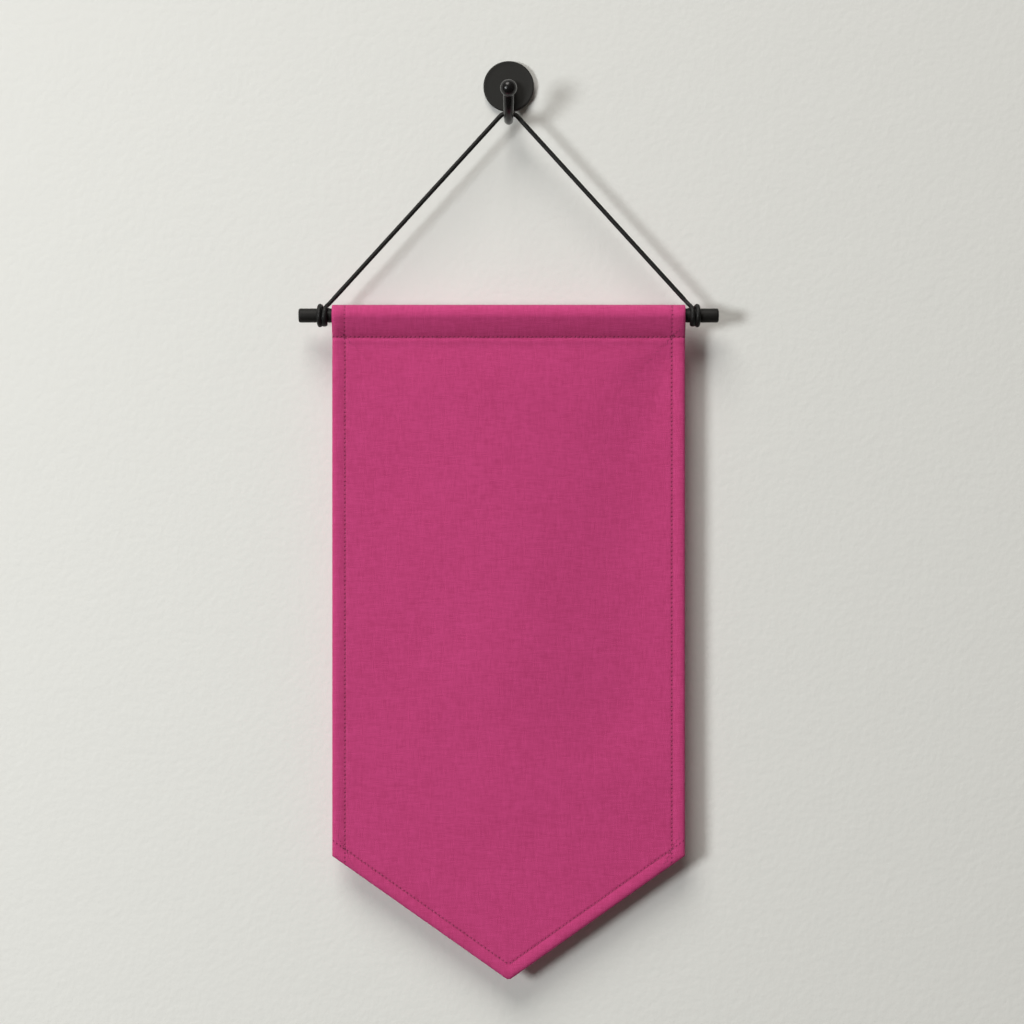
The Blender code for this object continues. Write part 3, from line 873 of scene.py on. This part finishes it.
def make_arm(material):
    """The bent wire of the hook, thinnest in the trough, with the ball run into its nose."""
    back_out = HANG_OUT - TROUGH_BEND
    low = (HANG_OUT, TROUGH_Z)
    line = [(PLATE_THICK, 0.0), (PLATE_THICK + 0.001, 0.0)]
    line += arc((back_out - POST_BEND, -POST_BEND), POST_BEND, math.pi / 2, 0.0, 12)
    line += arc((HANG_OUT, TROUGH_Z + TROUGH_BEND), TROUGH_BEND, math.pi, 1.5 * math.pi, 16)
    nose = arc(
        (HANG_OUT, TROUGH_Z + NOSE_BEND), NOSE_BEND, 1.5 * math.pi,
        1.5 * math.pi + NOSE_RISE, 24
    )[1:]
    line += nose
    rise = BALL_Z - nose[-1][1]
    ball = (nose[-1][0] + rise / math.tan(NOSE_RISE), BALL_Z)
    beyond = BALL_RADIUS * 0.9999
    tip = (ball[0] + beyond * math.cos(NOSE_RISE), ball[1] + beyond * math.sin(NOSE_RISE))
    line += [ball, tip]
    path, length = even_path([Vector((0.0, -out, z)) for out, z in line], ARM_STEP)
    below = [i for i, p in enumerate(path) if -p.y >= low[0]][0]
    start = length - beyond
    sizes = []
    for index in range(len(path)):
        run = length * index / (len(path) - 1)
        if index <= below:
            radius = POST_RADIUS + (TROUGH_RADIUS - POST_RADIUS) * index / below
        else:
            share = (index - below) / (len(path) - 1 - below)
            radius = TROUGH_RADIUS + (NOSE_RADIUS - TROUGH_RADIUS) * share
        around = math.sqrt(max(0.0, BALL_RADIUS ** 2 - (run - start) ** 2))
        if run > start:
            radius = around
        elif around > 0:
            gap = max(BALL_BLEND - abs(radius - around), 0.0) / BALL_BLEND
            radius = max(radius, around) + gap * gap * BALL_BLEND / 4
        sizes.append((max(radius, TIP_RADIUS),) * 2)
    ups = [Vector((1.0, 0.0, 0.0))] * len(path)
    return sweep("hook_arm_wire", path, ups, sizes, ARM_SIDES, material)


def make_plate(material):
    profile = [(0.0, 0.0137), (0.0002, 0.0142), (0.0006, 0.0145), (0.0022, 0.0145)]
    profile += [(0.0026, 0.01442), (0.0029, 0.01418), (0.0030, 0.0138), (0.00292, 0.0134)]
    profile += [(0.00292, 0.0110), (0.00294, 0.0070), (0.00294, 0.0036), (0.00294, 0.0001)]
    return lathe(
        "hook_plate_disc", profile, PLATE_SIDES,
        lambda height, angle, radius: (radius * math.cos(angle), -height, radius * math.sin(angle)),
        material,
    )


def make_rod(material):
    half = ROD_LENGTH / 2
    ease = [(0.0, 0.0030), (0.00008, 0.0034), (0.0003, 0.00375), (0.0007, 0.00395)]
    profile = [(-half + along, radius) for along, radius in ease]
    profile += [(x, ROD_RADIUS) for x in np.linspace(-half + 0.0012, half - 0.0012, 60)]
    profile += [(half - along, radius) for along, radius in reversed(ease)]
    return lathe(
        "turned_rod", profile, ROD_SIDES,
        lambda x, angle, radius: (
            x, -HANG_OUT + radius * math.cos(angle), ROD_Z + radius * math.sin(angle)
        ),
        material,
    )


def add_light(name, place, target, size, power, colour):
    data = bpy.data.lights.new(name, "AREA")
    data.shape = "DISK"
    data.size = size
    data.energy = power
    data.color = colour
    light = bpy.data.objects.new(name, data)
    light.location = place
    light.rotation_euler = (Vector(target) - Vector(place)).to_track_quat("-Z", "Y").to_euler()
    bpy.context.scene.collection.objects.link(light)


def wall_material():
    """Pale painted wall; seen from behind it lets the view through."""
    s = Shader("pale_wall")
    grit = s.math("ADD", s.noise(260.0, 4.0), s.math("MULTIPLY", s.noise(28.0, 3.0), 1.2))
    s.finish(
        Base_Color=(*WALL_COLOUR, 1.0), Roughness=0.9, Specular_IOR_Level=0.1,
        Normal=s.bump(grit, 0.0006, 0.35),
    )
    clear = s.node("ShaderNodeBsdfTransparent", {})
    behind = s.tree.nodes.new("ShaderNodeNewGeometry").outputs["Backfacing"]
    mix = s.tree.nodes.new("ShaderNodeMixShader")
    s.put(mix.inputs[0], behind)
    s.put(mix.inputs[1], s.surface.outputs[0])
    s.put(mix.inputs[2], clear)
    s.put(s.output.inputs["Surface"], mix.outputs[0])
    return s.material


def make_stage():
    mesh = bpy.data.meshes.new("wall")
    corners = [(-4.0, -2.6), (4.0, -2.6), (4.0, 3.0), (-4.0, 3.0)]
    mesh.from_pydata([(x, WALL_Y, z) for x, z in corners], [], [(0, 1, 2, 3)])
    mesh.materials.append(wall_material())
    wall = bpy.data.objects.new("wall", mesh)
    wall.visible_shadow = False
    bpy.context.scene.collection.objects.link(wall)
    world = bpy.data.worlds.new("room")
    world.use_nodes = True
    tree = world.node_tree
    where = tree.nodes.new("ShaderNodeTexCoord")
    split = tree.nodes.new("ShaderNodeSeparateXYZ")
    rise = tree.nodes.new("ShaderNodeMapRange")
    rise.inputs["From Min"].default_value = -0.8
    rise.inputs["From Max"].default_value = 0.8
    blend = tree.nodes.new("ShaderNodeMix")
    blend.data_type = "RGBA"
    blend.inputs["A"].default_value = (*GROUND_COLOUR, 1.0)
    blend.inputs["B"].default_value = (*SKY_COLOUR, 1.0)
    tree.links.new(where.outputs["Generated"], split.inputs[0])
    tree.links.new(split.outputs["Z"], rise.inputs["Value"])
    tree.links.new(rise.outputs[0], blend.inputs["Factor"])
    tree.links.new(blend.outputs["Result"], tree.nodes["Background"].inputs["Color"])
    bpy.context.scene.world = world
    for light in LIGHTS:
        add_light(*light)


def main():
    make_camera()
    make_stage()
    canvas = canvas_material()
    cord_black = cord_material()

    cloth, outer, inner, runs, columns, rows = make_cloth(canvas)
    stitches = sew(outer, inner, runs, columns, rows, thread_material())
    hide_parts("pennant")

    cord, path, length = make_cord(cord_black)
    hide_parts("hanger_cord")
    for name, side in (("left", -1), ("right", 1)):
        knot = make_knot("braided_knot_" + name, side, cord_black)
        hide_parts("knot_" + name)
    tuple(path[0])

    for piece, node, name in (
        (make_rod(rod_material()), "rod", "rod_black"),
        (make_plate(plate_material()), "hook_plate", "plate_black"),
        (make_arm(arm_material()), "hook_arm", "arm_black"),
    ):
        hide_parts(node)


main()
